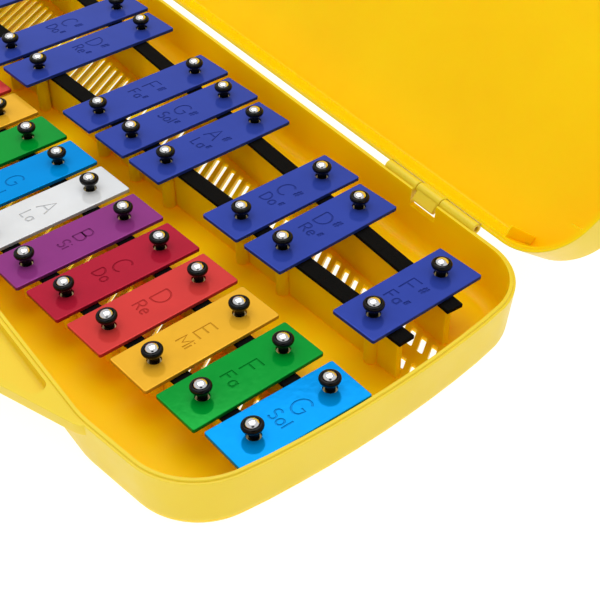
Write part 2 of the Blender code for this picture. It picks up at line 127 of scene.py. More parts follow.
# Rim: a lip stands up inside a step on the tray, and the lid has a rebate for it.
LIP_HEIGHT = 0.0007
STEP_WIDTH = 0.0011

# Latches.
LATCH_RADIUS = 0.0019
LATCH_BORE = 0.0011
LATCH_BORE_REACH = 0.014
LATCH_PIN_RADIUS = 0.0008

# Studio: a lens in millimetres, and the card's facing and its distance as a share of the camera's.
CAMERA_PLACE = (0.43183, -0.22742, 0.34308)
CAMERA_TARGET = (0.15014, 0.01340, 0.0204)
LENS = 71.9
CARD_FACING = (-0.573, 0.491, -0.655)
CARD_DISTANCE = 1.35

CUTTERS = []


# Meshes and modifiers

def add_object(name, bm):
    bmesh.ops.recalc_face_normals(bm, faces=bm.faces[:])
    mesh = bpy.data.meshes.new(name)
    bm.to_mesh(mesh)
    bm.free()
    item = bpy.data.objects.new(name, mesh)
    bpy.context.scene.collection.objects.link(item)
    return item


def combine(item, other, operation, itself=False):
    step = item.modifiers.new(operation.lower(), "BOOLEAN")
    step.operation = operation
    step.solver = "EXACT"
    step.use_self = itself
    step.object = other
    CUTTERS.append(other)


def bevel(item, width, segments):
    """Round the item's sharper edges."""
    step = item.modifiers.new("round", "BEVEL")
    step.limit_method = "ANGLE"
    step.angle_limit = math.radians(40)
    step.width = width
    step.segments = segments


def finish_mesh(item, angle=35):
    """Carry out the item's modifiers, drop its cutters, and shade it smooth."""
    bpy.context.view_layer.update()
    depsgraph = bpy.context.evaluated_depsgraph_get()
    mesh = bpy.data.meshes.new_from_object(item.evaluated_get(depsgraph))
    item.modifiers.clear()
    item.data = mesh
    for cutter in CUTTERS:
        bpy.data.objects.remove(cutter)
    CUTTERS.clear()
    shade(item, angle)
    return item


def shade(item, angle):
    item.data.shade_smooth()
    item.data.set_sharp_from_angle(angle=math.radians(angle))
    step = item.modifiers.new("weighted", "WEIGHTED_NORMAL")
    step.keep_sharp = True
    step.weight = 80


def paint(item, *finishes):
    item.data.materials.clear()
    for finish in finishes:
        item.data.materials.append(finish)


def rounded(corners, steps=24):
    """An outline of (x, y, radius) corners, with an arc at each corner that has a radius."""
    outline = []
    count = len(corners)
    for index, (x, y, radius) in enumerate(corners):
        here = Vector((x, y))
        before = (Vector(corners[index - 1][:2]) - here).normalized()
        after = (Vector(corners[(index + 1) % count][:2]) - here).normalized()
        turn = math.pi - before.angle(after)
        if radius == 0:
            outline.append(here)
            continue
        reach = radius * math.tan(turn / 2)
        centre = here + (before + after).normalized() * math.hypot(radius, reach)
        start = here + before * reach - centre
        side = 1 if before.cross(after) < 0 else -1
        arc_steps = max(2, round(steps * turn / (math.pi / 2)))
        for step in range(arc_steps + 1):
            angle = side * turn * step / arc_steps
            outline.append(centre + Matrix.Rotation(angle, 2) @ start)
    return outline


def inset(outline, distance):
    """A counterclockwise outline moved inwards by a distance, or outwards by a negative one."""
    moved = []
    count = len(outline)
    for index, here in enumerate(outline):
        ahead = (outline[(index + 1) % count] - here).normalized()
        behind = (here - outline[index - 1]).normalized()
        across = Vector((-ahead.y - behind.y, ahead.x + behind.x)).normalized()
        share = across.dot(Vector((-ahead.y, ahead.x)))
        moved.append(here + across * distance / share)
    return moved


def loft(name, outline, profile):
    """A closed solid whose rings follow the outline, one for each (inset, height) in the profile."""
    bm = bmesh.new()
    rings = []
    for distance, height in profile:
        points = inset(outline, distance)
        rings.append([bm.verts.new((point.x, point.y, height)) for point in points])
    for lower, upper in zip(rings[:-1], rings[1:]):
        count = len(lower)
        for index in range(count):
            after = (index + 1) % count
            bm.faces.new((lower[index], lower[after], upper[after], upper[index]))
    bm.faces.new(rings[0])
    bm.faces.new(rings[-1])
    return add_object(name, bm)


def add_cylinder(bm, start, end, radius, sides, end_radius=None):
    start, end = Vector(start), Vector(end)
    axis = end - start
    turn = axis.to_track_quat("Z", "Y").to_matrix().to_4x4()
    turn = turn @ Matrix.Rotation(math.pi / sides, 4, "Z")
    place = Matrix.Translation((start + end) / 2) @ turn
    far = radius if end_radius is None else end_radius
    bmesh.ops.create_cone(bm, cap_ends=True, segments=sides, radius1=radius, radius2=far,
                          depth=axis.length, matrix=place)


def add_box(bm, low, high, place=None):
    size = [b - a for a, b in zip(low, high)]
    centre = [(a + b) / 2 for a, b in zip(low, high)]
    scale = Matrix.Diagonal((*size, 1))
    matrix = (place or Matrix()) @ Matrix.Translation(centre) @ scale
    bmesh.ops.create_cube(bm, size=1.0, matrix=matrix)


def turned(name, profile, segments):
    """A body turned about Z from a profile of (radius, height), closed on the axis at both ends."""
    bm = bmesh.new()
    rings = []
    for radius, height in profile:
        if radius == 0:
            rings.append([bm.verts.new((0, 0, height))])
            continue
        ring = []
        for step in range(segments):
            angle = math.tau * step / segments
            ring.append(bm.verts.new((radius * math.cos(angle), radius * math.sin(angle), height)))
        rings.append(ring)
    for before, after in zip(rings[:-1], rings[1:]):
        for step in range(segments):
            beside = (step + 1) % segments
            corners = [before[step % len(before)], before[beside % len(before)],
                       after[beside % len(after)], after[step % len(after)]]
            bm.faces.new(list(dict.fromkeys(corners)))
    return add_object(name, bm)


def at(line, step):
    return line[0] + line[1] * step


def bar_x(step):
    return step * PITCH + (0.0 if step == int(step) else SHARP_SHIFT)


# Materials

def new_material(name):
    made = bpy.data.materials.new(name)
    made.use_nodes = True
    shader = made.node_tree.nodes["Principled BSDF"]
    return made, made.node_tree, shader


def link(tree, source, output, target, name):
    tree.links.new(source.outputs[output], target.inputs[name])


def noise(tree, scale, detail=4.0, roughness=0.55):
    """Noise in the object's own metres."""
    place = tree.nodes.new("ShaderNodeTexCoord")
    texture = tree.nodes.new("ShaderNodeTexNoise")
    texture.inputs["Scale"].default_value = scale
    texture.inputs["Detail"].default_value = detail
    texture.inputs["Roughness"].default_value = roughness
    link(tree, place, "Object", texture, "Vector")
    return texture


def ramp(tree, source, stops):
    """A colour ramp over a texture: stops are (position, colour)."""
    made = tree.nodes.new("ShaderNodeValToRGB")
    points = made.color_ramp.elements
    while len(points) < len(stops):
        points.new(0.5)
    for point, (position, colour) in zip(points, stops):
        point.position = position
        point.color = (*colour, 1) if len(colour) == 3 else colour
    link(tree, source, "Fac", made, "Fac")
    return made


def scaled(colour, factor):
    return tuple(min(1.0, part * factor) for part in colour)


def value_range(tree, source, low, high):
    """A texture's middle values mapped onto a range of numbers."""
    made = tree.nodes.new("ShaderNodeMapRange")
    made.inputs["From Min"].default_value = 0.3
    made.inputs["From Max"].default_value = 0.7
    made.inputs["To Min"].default_value = low
    made.inputs["To Max"].default_value = high
    link(tree, source, "Fac", made, "Value")
    return made


def bump(tree, shader, source, strength, distance):
    made = tree.nodes.new("ShaderNodeBump")
    made.inputs["Strength"].default_value = strength
    made.inputs["Distance"].default_value = distance
    link(tree, source, "Fac", made, "Height")
    link(tree, made, "Normal", shader, "Normal")


def plastic_material(name, colour, level, glow):
    """Moulded yellow plastic: light soaks into it, with faint flow marks, a fine grain and light scuffs."""
    made, tree, shader = new_material(name)
    flow = noise(tree, 14, 3)
    tint = ramp(tree, flow, ((0.3, scaled(colour, 0.96)), (0.7, scaled(colour, 1.03))))
    link(tree, tint, "Color", shader, "Base Color")
    grain = noise(tree, 1500, 3, 0.6)
    scuffs = noise(tree, 90, 6, 0.65)
    gloss = value_range(tree, scuffs, 0.28, 0.42)
    link(tree, gloss, "Result", shader, "Roughness")
    shader.inputs["Specular IOR Level"].default_value = level
    shader.inputs["Subsurface Weight"].default_value = glow
    shader.inputs["Subsurface Radius"].default_value = (1.0, 0.62, 0.10)
    shader.inputs["Subsurface Scale"].default_value = 0.004
    bump(tree, shader, grain, 0.12, 0.0002)
    return made


def enamel_material(name, colour, level):
    """Glossy enamel on metal: orange peel, and faint handling marks in the gloss."""
    made, tree, shader = new_material(name)
    patches = noise(tree, 60, 3)
    tint = ramp(tree, patches, ((0.35, scaled(colour, 0.96)), (0.65, scaled(colour, 1.03))))
    link(tree, tint, "Color", shader, "Base Color")
    marks = noise(tree, 260, 7, 0.7)
    gloss = value_range(tree, marks, 0.07, 0.15)
    link(tree, gloss, "Result", shader, "Roughness")
    shader.inputs["Specular IOR Level"].default_value = level
    shader.inputs["Metallic"].default_value = 0.25
    peel = noise(tree, 420, 2, 0.4)
    bump(tree, shader, peel, 0.05, 0.0004)
    return made


def felt_material():
    """Black felt strip: matted fibres, a little dust, no gloss."""
    made, tree, shader = new_material("black_felt")
    fibres = noise(tree, 1400, 6, 0.75)
    tint = ramp(tree, fibres, ((0.35, (0.0016, 0.0016, 0.0017)), (0.75, (0.008, 0.0075, 0.007))))
    link(tree, tint, "Color", shader, "Base Color")
    gloss = value_range(tree, fibres, 0.75, 0.95)
    link(tree, gloss, "Result", shader, "Roughness")
    shader.inputs["Specular IOR Level"].default_value = 0.06
    bump(tree, shader, fibres, 0.6, 0.0003)
    return made


def sleeve_material():
    """Glossy black moulded sleeves, with faint dust in the gloss."""
    made, tree, shader = new_material("black_sleeve")
    dust = noise(tree, 900, 5, 0.7)
    tint = ramp(tree, dust, ((0.4, (0.0010, 0.0010, 0.0012)), (0.8, (0.0040, 0.0040, 0.0045))))
    link(tree, tint, "Color", shader, "Base Color")
    gloss = value_range(tree, dust, 0.06, 0.15)
    link(tree, gloss, "Result", shader, "Roughness")
    shader.inputs["Specular IOR Level"].default_value = 0.18
    bump(tree, shader, dust, 0.04, 0.0001)
    return made


def metal_material(name, colour, low, high):
    """Plated metal with fine turning scratches round its axis."""
    made, tree, shader = new_material(name)
    place = tree.nodes.new("ShaderNodeTexCoord")
    stretch = tree.nodes.new("ShaderNodeMapping")
    stretch.inputs["Scale"].default_value = (1.0, 1.0, 6.0)
    link(tree, place, "Object", stretch, "Vector")
    scratches = tree.nodes.new("ShaderNodeTexNoise")
    scratches.inputs["Scale"].default_value = 900
    scratches.inputs["Detail"].default_value = 5
    link(tree, stretch, "Vector", scratches, "Vector")
    tint = ramp(tree, scratches, ((0.3, scaled(colour, 0.9)), (0.7, colour)))
    link(tree, tint, "Color", shader, "Base Color")
    gloss = value_range(tree, scratches, low, high)
    link(tree, gloss, "Result", shader, "Roughness")
    shader.inputs["Metallic"].default_value = 1.0
    bump(tree, shader, scratches, 0.03, 0.0001)
    return made


def floor_material():
    """A white table lit from below, as for pictures on plain white."""
    made, tree, shader = new_material("studio_table")
    fibres = noise(tree, 300, 4)
    tint = ramp(tree, fibres, ((0.3, (0.28, 0.28, 0.28)), (0.7, (0.31, 0.31, 0.31))))
    link(tree, tint, "Color", shader, "Base Color")
    shader.inputs["Emission Color"].default_value = (1, 1, 1, 1)
    shader.inputs["Emission Strength"].default_value = 0.92
    shader.inputs["Roughness"].default_value = 0.9
    shader.inputs["Specular IOR Level"].default_value = 0.1
    return made


def card_material():
    """Matt black card, which puts the dark fleck into the domes that a camera would."""
    made, tree, shader = new_material("black_card")
    fibres = noise(tree, 200, 4)
    tint = ramp(tree, fibres, ((0.3, (0.004, 0.004, 0.004)), (0.7, (0.008, 0.008, 0.008))))
    link(tree, tint, "Color", shader, "Base Color")
    shader.inputs["Roughness"].default_value = 0.9
    shader.inputs["Specular IOR Level"].default_value = 0.0
    return made


BAR_COLOURS = {
    "G": (0.0, 0.31, 0.84), "A": (0.84, 0.86, 0.88), "B": (0.30, 0.042, 0.25),
    "C": (0.50, 0.014, 0.042), "D": (0.74, 0.055, 0.050), "E": (0.95, 0.50, 0.030),
    "F": (0.0, 0.34, 0.034), "sharp": (0.034, 0.066, 0.42),
}


# Bars with engraved note names

def curve_points(centre, radius_x, radius_y, first, last, steps=12):
    points = []
    for step in range(steps + 1):
        angle = math.radians(first + (last - first) * step / steps)
        points.append((centre[0] + radius_x * math.cos(angle), centre[1] + radius_y * math.sin(angle)))
    return points


def bowl(left, right, low, high):
    """The stroke of a D-shaped bowl between two heights."""
    middle = (low + high) / 2
    radius = (high - low) / 2
    straight = max(left, right - radius)
    curve = curve_points((straight, middle), right - straight, radius, 90, -90)
    return [(left, high)] + curve + [(left, low)]


def glyph(letter):
    """A letter's width and its strokes, drawn in a box one unit high."""
    stem = [(0, 0), (0, 1)]
    ring = curve_points((0.40, 0.5), 0.40, 0.5, 48, 312, 18)
    shapes = {
        "A": (0.80, [[(0, 0), (0.40, 1), (0.80, 0)], [(0.14, 0.34), (0.66, 0.34)]]),
        "B": (0.60, [stem, bowl(0, 0.54, 0.53, 1), bowl(0, 0.60, 0, 0.53)]),
        "C": (0.68, [ring]),
        "D": (0.70, [stem, bowl(0, 0.70, 0, 1)]),
        "E": (0.58, [[(0.58, 1), (0, 1), (0, 0), (0.58, 0)], [(0, 0.52), (0.50, 0.52)]]),
        "F": (0.56, [[(0.56, 1), (0, 1), (0, 0)], [(0, 0.52), (0.48, 0.52)]]),
        "G": (0.72, [ring + [(0.72, 0.44), (0.46, 0.44)]]),
        "L": (0.50, [[(0, 1), (0, 0), (0.50, 0)]]),
        "M": (0.78, [[(0, 0), (0, 1), (0.39, 0.30), (0.78, 1), (0.78, 0)]]),
        "R": (0.58, [stem, bowl(0, 0.56, 0.48, 1), [(0.28, 0.48), (0.58, 0)]]),
        "S": (0.54, [curve_points((0.28, 0.75), 0.26, 0.25, 35, 270, 10)
                     + curve_points((0.28, 0.25), 0.26, 0.25, 80, -145, 10)]),
        "a": (0.46, [curve_points((0.23, 0.29), 0.23, 0.29, 20, 340, 14), [(0.46, 0.60), (0.46, 0)]]),
        "e": (0.48, [[(0.02, 0.31), (0.48, 0.31)] + curve_points((0.25, 0.30), 0.24, 0.30, 15, 315, 14)]),
        "i": (0.04, [[(0.02, 0), (0.02, 0.60)], [(0.02, 0.84), (0.02, 0.92)]]),
        "l": (0.04, [[(0.02, 0), (0.02, 1)]]),
        "o": (0.50, [curve_points((0.25, 0.30), 0.25, 0.30, 0, 352, 16)]),
        "#": (0.34, [[(0.06, 0.46), (0.13, 0.98)], [(0.21, 0.46), (0.28, 0.98)],
                     [(0, 0.62), (0.32, 0.62)], [(0.02, 0.82), (0.34, 0.82)]]),
    }
    return shapes[letter]


def word_strokes(word, height, centre):
    """A word's strokes, centred across the bar, in metres."""
    widths = [glyph(letter)[0] for letter in word]
    x = -(sum(widths) + LETTER_SPACE * (len(word) - 1)) / 2
    found = []
    for letter, width in zip(word, widths):
        for stroke in glyph(letter)[1]:
            found.append([(centre[0] + (x + u) * height, centre[1] + v * height) for u, v in stroke])
        x += width + LETTER_SPACE
    return found


def groove_cutter(name, strokes, place):
    """Round-bottomed grooves along strokes: tubes that dip into the bar's top."""
    curve = bpy.data.curves.new(name, "CURVE")
    curve.dimensions = "3D"
    curve.bevel_depth = GROOVE_RADIUS
    curve.bevel_resolution = 1
    curve.use_fill_caps = True
    for stroke in strokes:
        spline = curve.splines.new("POLY")
        spline.points.add(len(stroke) - 1)
        for point, (x, y) in zip(spline.points, stroke):
            point.co = (x, y, 0.0, 1.0)
    holder = bpy.data.objects.new(name, curve)
    bpy.context.scene.collection.objects.link(holder)
    bpy.context.view_layer.update()
    depsgraph = bpy.context.evaluated_depsgraph_get()
    mesh = bpy.data.meshes.new_from_object(holder.evaluated_get(depsgraph))
    bpy.data.objects.remove(holder)
    bm = bmesh.new()
    bm.from_mesh(mesh)
    bmesh.ops.remove_doubles(bm, verts=bm.verts[:], dist=0.000004)
    bmesh.ops.transform(bm, matrix=place, verts=bm.verts[:])
    return add_object(name, bm)


def bar_rows():
    for index, step in enumerate(range(-LAST_STEP, LAST_STEP + 1)):
        letter = LETTERS[index % 7]
        name = f"bar_{letter}{index // 7 + 1}"
        yield name, float(step), letter, letter, NATURAL_TOP, NATURAL_ENDS, NATURAL_SCREWS
    for step in SHARP_STEPS:
        index = math.floor(step) + LAST_STEP
        letter = LETTERS[index % 7]
        name = f"bar_{letter}{index // 7 + 1}_sharp"
        yield name, step, letter, "sharp", SHARP_TOP, SHARP_ENDS, SHARP_SCREWS


def make_bar(name, step, letter, key, top, ends, screws, finish, dark, side_finish):
    front, rear = at(ends[0], step), at(ends[1], step)
    turn = Matrix.Rotation(math.radians(TURNED_BARS.get(step, 0.0)), 4, "Z")
    place = Matrix.Translation((bar_x(step), (front + rear) / 2, top)) @ turn
    half = (rear - front) / 2
    side = BAR_WIDTH / 2
    corners = ((-side, -half), (side, -half), (side, half), (-side, half))
    outline = rounded([(*corner, BAR_CORNER) for corner in corners], 6)
    low = []
    for angle in map(math.radians, (0, 30, 60, 90)):
        height = -BAR_THICK + BAR_EDGE - BAR_EDGE * math.cos(angle)
        low.append((BAR_EDGE - BAR_EDGE * math.sin(angle), height))
    high = [(distance, -BAR_THICK - height) for distance, height in reversed(low)]
    bar = loft(f"{name}_enamel", outline, low + high)
    bar.data.transform(place)
    holes = bmesh.new()
    for line in screws:
        spot = Vector((bar_x(step), at(line, step), top))
        drop = Vector((0, 0, 2 * BAR_THICK))
        add_cylinder(holes, spot - drop, spot + drop, HOLE_RADIUS, 36)
    combine(bar, add_object(f"{name}_holes", holes), "DIFFERENCE")
    sharp = "#" if key == "sharp" else ""
    middle = (at(screws[0], step) + at(screws[1], step)) / 2 - (front + rear) / 2
    strokes = word_strokes(letter + sharp, LETTER_HEIGHT, (0, middle - 0.0004))
    strokes += word_strokes(SYLLABLES[letter] + sharp, SYLLABLE_HEIGHT, (0, middle - 0.0088))
    lift = place @ Matrix.Translation((0, 0, GROOVE_LIFT))
    grooves = groove_cutter(f"{name}_grooves", strokes, lift)
    # The groove faces get a darker copy of the bar's enamel: painted shade in the engraved letters.
    for item in (bar, grooves):
        paint(item, finish, dark, side_finish)
    grooves.data.polygons.foreach_set("material_index", [1] * len(grooves.data.polygons))
    # The bars' side faces get a darker copy of the enamel: painted shade on the sides.
    sides = [2 * int(abs(face.normal.z) < 0.5) for face in bar.data.polygons]
    bar.data.polygons.foreach_set("material_index", sides)
    combine(bar, grooves, "DIFFERENCE", True)
    finish_mesh(bar, 30)
    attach(bar, "case")
    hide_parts(name)


# Strips, sleeves and screws

def make_strip(node, line, top, finish):
    slope = line[1] / PITCH
    seat = top - BAR_THICK - FIT_GAP
    bm = bmesh.new()
    turn = Matrix.Rotation(math.atan(slope), 4, "Z")
    place = Matrix.Translation((0, line[0], seat - STRIP_THICK / 2)) @ turn
    add_box(bm, (-STRIP_REACH, -STRIP_WIDTH / 2, -STRIP_THICK / 2),
            (STRIP_REACH, STRIP_WIDTH / 2, STRIP_THICK / 2), place)
    strip = add_object(f"{node}_felt", bm)
    bevel(strip, 0.0004, 2)
    finish_mesh(strip)
    paint(strip, finish)
    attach(strip, "case")
    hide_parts(node)


def sleeve_mesh():
    """A black sleeve above a bar's top: a neck, and a rounded ring round the screw's dome."""
    profile = [(0, -0.0019), (0.0021, -0.0019), (0.0021, 0.0016), (0.0023, 0.0020), (0.0030, 0.0024),
               (0.0037, 0.0028), (0.00415, 0.0033), (0.00438, 0.0039), (0.00445, 0.0044), (0.00438, 0.0049),
               (0.00415, 0.0053), (0.0038, 0.00555), (0.0034, 0.00563), (0.00315, 0.0055), (0.0030, 0.0052),
               (0.00296, 0.0047), (0, 0.0045)]
    made = turned("sleeve_pattern", profile, 56)
    shade(made, 50)
    return made


def screw_mesh():
    """A plated dome head, from its washer-like edge to its top."""
    profile = [(0, 0.0046), (0.00280, 0.0046), (0.00288, 0.0048), (0.00288, 0.0051)]
    profile += [(0.00284 * math.cos(math.radians(angle)), 0.00515 + 0.0017 * math.sin(math.radians(angle)))
                for angle in range(6, 90, 7)]
    profile += [(0, 0.00685)]
    made = turned("screw_pattern", profile, 56)
    shade(made, 50)
    return made


def bush_mesh():
    """The tip of a post, in a bar's hole round the sleeve."""
    profile = [(0.00215, -0.0023), (0.0030, -0.0023), (0.0030, -0.0013), (0.0028, -0.0011),
               (0.00235, -0.0011), (0.00215, -0.0013)]
    bm = bmesh.new()
    segments = 40
    rings = []
    for radius, height in profile:
        ring = []
        for step in range(segments):
            angle = math.tau * step / segments
            ring.append(bm.verts.new((radius * math.cos(angle), radius * math.sin(angle), height)))
        rings.append(ring)
    for index, ring in enumerate(rings):
        after = rings[(index + 1) % len(rings)]
        for step in range(segments):
            beside = (step + 1) % segments
            bm.faces.new((ring[step], ring[beside], after[beside], after[step]))
    made = add_object("bush_pattern", bm)
    shade(made, 40)
    return made


def copy_at(pattern, name, spot, lean, spin):
    item = bpy.data.objects.new(name, pattern.data)
    bpy.context.scene.collection.objects.link(item)
    for step in pattern.modifiers:
        added = item.modifiers.new(step.name, step.type)
        added.keep_sharp = True
        added.weight = 80
    item.matrix_world = Matrix.Translation(spot) @ lean @ Matrix.Rotation(spin, 4, "Z")
    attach(item, "case")
    return item


def make_fixings(sleeve_finish, screw_finish, tip_finish):
    """A sleeve, screw and post tip at both ends of every bar, each leaning a little its own way."""
    chance = random.Random(7)
    sleeve, screw, bush = sleeve_mesh(), screw_mesh(), bush_mesh()
    paint(sleeve, sleeve_finish)
    paint(screw, screw_finish)
    # Post tips: painted light, a paler cream than the tray's yellow plastic.
    paint(bush, tip_finish)
    for name, step, letter, key, top, ends, screws in bar_rows():
        for side, line in zip(("front", "rear"), screws):
            lift = 0.0003 if key == "sharp" else 0.0007
            spot = Vector((bar_x(step), at(line, step), top))
            tilt_x, tilt_y = chance.uniform(-1.8, 1.8), chance.uniform(-1.8, 1.8)
            if key != "sharp" and side == "front":
                tilt_x, tilt_y = tilt_x + 4.0, tilt_y - 3.4
            lean = Matrix.Rotation(math.radians(tilt_x), 4, "X")
            lean = lean @ Matrix.Rotation(math.radians(tilt_y), 4, "Y")
            spin = chance.uniform(0, math.tau)
            label = name.replace("bar_", "")
            raised = spot + Vector((0, 0, lift))
            copy_at(sleeve, f"sleeve_{label}_{side}", raised, lean, spin)
            copy_at(screw, f"screw_{label}_{side}", raised, lean, spin)
            copy_at(bush, f"post_tip_{label}_{side}", spot, Matrix(), spin)
    for pattern in (sleeve, screw, bush):
        bpy.data.objects.remove(pattern)


# Case outlines

def end_wall(side, end, bow):
    corner_x = end - bow * (HALF_DEPTH - TAPER * side * end) ** 2
    corner_y = HALF_DEPTH - TAPER * side * corner_x
    points = [(side * corner_x, -corner_y, CORNER_RADIUS)]
    for index in range(-4, 5):
        y = 0.6 * corner_y * index / 4
        points.append((side * (end - bow * y * y), y, 0))
    points.append((side * corner_x, corner_y, CORNER_RADIUS))
    return points


def case_outline():
    right = end_wall(1, RIGHT_END, RIGHT_BOW)
    left = end_wall(-1, LEFT_END, LEFT_BOW)
    recess = [(-0.150, -0.122, 0.05), (-0.050, -0.0835, 0.06), (0.020, -0.0835, 0.30),
              (0.153, -0.0957, 0.05)]
    return rounded(right + left[::-1] + recess)


def handle_outline():
    inner = [(0.162, -0.090, 0), (0.020, -0.076, 0), (-0.050, -0.076, 0), (-0.165, -0.112, 0)]
    outer = [(-0.156, -0.1225, 0.02), (-0.070, -HANDLE_FRONT, 0.06), (0.023, -HANDLE_FRONT, 0.08),
             (0.157, -0.0969, 0.01)]
    return rounded(inner + outer)


def handle_pocket():
    edge = HANDLE_FRONT - WALL
    return rounded([(0.150, -0.0957, 0.004), (0.020, -0.0837, 0.30), (-0.050, -0.0837, 0.06),
                    (-0.1465, -0.1209, 0.004), (-0.070, -edge, 0.057), (0.023, -edge, 0.077)])


def finger_hole(margin):
    x, y = HOLE_CENTRE
    half_x, half_y = HOLE_SIZE[0] / 2 + margin, HOLE_SIZE[1] / 2 + margin
    radius = 0.009 + margin
    return rounded([(x - half_x, y - half_y, radius), (x + half_x, y - half_y, radius),
                    (x + half_x, y + half_y, radius), (x - half_x, y + half_y, radius)], 10)


def fillet(offset, height, radius, way, steps):
    """A drafted wall's rounded foot: profile points from the flat face to the wall."""
    points = []
    for step in range(steps + 1):
        angle = math.radians(87 * step / steps)
        inward = offset + radius * (1 - math.sin(angle))
        points.append((inward, height + way * radius * (1 - math.cos(angle))))
    return points


def shell_profile(rim, depth, rim_points, outer_round):
    """The outside of half of the case, from its flat far face to the rim's step and lip."""
    way = 1 if depth > 0 else -1
    far = rim + depth
    offset = abs(depth) * DRAFT
    foot = fillet(offset, far, outer_round, -way, 9)
    return foot + rim_points


def make_shell(name, rim, depth, lip, inner_round=INNER_ROUND, outer_round=OUTER_ROUND):
    """Half of the case. A positive lip stands up from the rim's step, and a negative one is cut in."""
    way = 1 if depth > 0 else -1
    outline = case_outline()
    up = -way
    step_up = lip * up
    edge = 0.00035
    edge_points = [(edge * 0.05, rim - up * edge), (edge * 0.3, rim - up * edge * 0.3), (edge, rim)]
    step_points = [(STEP_WIDTH, rim), (STEP_WIDTH + 0.00012, rim + step_up * 0.75),
                   (STEP_WIDTH + 0.0003, rim + step_up)]
    rim_points = edge_points + step_points if lip > 0 else edge_points
    shell = loft(name, outline, shell_profile(rim, depth, rim_points, outer_round))
    handle_far = rim + way * HANDLE_THICK
    flange_profile = fillet(HANDLE_THICK * DRAFT, handle_far, 0.0022, up, 5) + edge_points
    flange = loft(f"{name}_flange", handle_outline(), flange_profile)
    over = 0.004
    inner_far = rim + depth - way * FLOOR
    inner_offset = WALL + abs(inner_far - rim) * DRAFT
    pocket_profile = fillet(inner_offset, inner_far, inner_round, -way, 9)
    pocket_profile += [(WALL - over * DRAFT, rim + up * over)]
    pocket = loft(f"{name}_pocket", outline, pocket_profile)
    web_top = handle_far - way * HANDLE_WEB
    web_offset = abs(web_top - rim) * DRAFT
    recess_profile = fillet(web_offset, web_top, 0.0012, up, 4) + [(-over * DRAFT, rim + up * over)]
    recess = loft(f"{name}_recess", handle_pocket(), recess_profile)
    collar_profile = [(-0.0008, web_top + way * 0.001), (-0.0008, web_top + up * 0.0003),
                      (0, web_top + up * 0.0014), (0, rim - up * 0.0005),
                      (0.00015, rim - up * 0.00012), (0.0005, rim - up * 0.00002)]
    collar = loft(f"{name}_collar", finger_hole(HANDLE_WEB), collar_profile)
    hole_profile = [(-0.0012, handle_far + way * 0.0002), (-0.0004, handle_far - way * 0.0004),
                    (0, handle_far - way * 0.0012), (0, rim - up * 0.0012), (-0.0004, rim - up * 0.0004),
                    (-0.0012, rim + up * 0.0002)]
    hole = loft(f"{name}_hole", finger_hole(0), hole_profile)
    combine(shell, flange, "UNION")
    if lip < 0:
        seat_profile = step_points[::-1] + [(STEP_WIDTH, rim + up * over)]
        combine(shell, loft(f"{name}_seat", outline, seat_profile), "DIFFERENCE")
    combine(shell, pocket, "DIFFERENCE")
    combine(shell, recess, "DIFFERENCE")
    combine(shell, collar, "UNION")
    combine(shell, hole, "DIFFERENCE")
    return shell


# Tray

def rib_cutter():
    bm = bmesh.new()
    for lines, top in ((NATURAL_STRIPS, NATURAL_TOP), (SHARP_STRIPS, SHARP_TOP)):
        high = top - BAR_THICK - STRIP_THICK - 2 * FIT_GAP
        for line in lines:
            turn = Matrix.Rotation(math.atan(line[1] / PITCH), 4, "Z")
            place = Matrix.Translation((0, line[0], 0)) @ turn
            add_box(bm, (-RIB_REACH, -RIB_THICK / 2, FLOOR / 2), (RIB_REACH, RIB_THICK / 2, high), place)
    made = add_object("ribs", bm)
    bevel(made, 0.0006, 3)
    return made


def post_cutter():
    bm = bmesh.new()
    for name, step, letter, key, top, ends, screws in bar_rows():
        high = top - BAR_THICK - STRIP_THICK - 2 * FIT_GAP - 0.0002
        for line in screws:
            spot = (bar_x(step), at(line, step))
            add_cylinder(bm, (*spot, FLOOR / 2), (*spot, high), POST_RADIUS + 0.0001, 28,
                         POST_RADIUS - 0.0001)
    return add_object("posts", bm)


def add_slot(bm, x, low, high, width=SLOT_WIDTH):
    tilt = math.tan(SLOT_LEAN)
    half = width / 2 / math.cos(SLOT_LEAN)
    corners = [(x - tilt * y + side * half, y) for y, side in ((low, -1), (low, 1), (high, 1), (high, -1))]
    outline = rounded([(*corner, 0.0004) for corner in corners], 3)
    bottom = [bm.verts.new((point.x, point.y, -FLOOR)) for point in outline]
    top = [bm.verts.new((point.x, point.y, 2 * FLOOR)) for point in outline]
    bm.faces.new(bottom)
    bm.faces.new(top)
    for index in range(len(outline)):
        after = (index + 1) % len(outline)
        bm.faces.new((bottom[index], bottom[after], top[after], top[index]))


def slot_cutter():
    bm = bmesh.new()
    margin = 0.0045
    tilt = math.tan(SLOT_LEAN)
    for index in range(-30, 32):
        foot = index * SLOT_STEP
        x = foot + 0.0285
        low = at(SHARP_STRIPS[0], (x - tilt * 0.03) / PITCH) + margin
        high = at(SHARP_STRIPS[1], (x - tilt * 0.06) / PITCH) - margin
        add_slot(bm, x, low, low + SLOT_FOOT)
        add_slot(bm, x, low + SLOT_FOOT + SLOT_BRIDGE, high)
        add_slot(bm, foot - 0.0225, *NATURAL_SLOTS, NATURAL_SLOT_WIDTH)
    return add_object("slots", bm)


# Hinges

def hinge_frame():
    angle = math.atan(TAPER)
    back = HALF_DEPTH + AXIS_BACK / math.cos(angle)
    return Matrix.Translation((0, back, RIM_Z)) @ Matrix.Rotation(-angle, 4, "Z")


def hinge_spans():
    knuckles, tongues = [], []
    for centre in HINGE_CENTRES:
        tongue = (centre - TONGUE_LENGTH / 2, centre + TONGUE_LENGTH / 2)
        knuckles.append((centre - HINGE_LENGTH / 2, tongue[0] - LID_GAP))
        knuckles.append((tongue[1] + LID_GAP, centre + HINGE_LENGTH / 2))
        tongues.append(tongue)
    return knuckles, tongues


def add_rod(bm, first, last, radius, sides):
    place = hinge_frame()
    add_cylinder(bm, place @ Vector((first, 0, 0)), place @ Vector((last, 0, 0)), radius, sides)


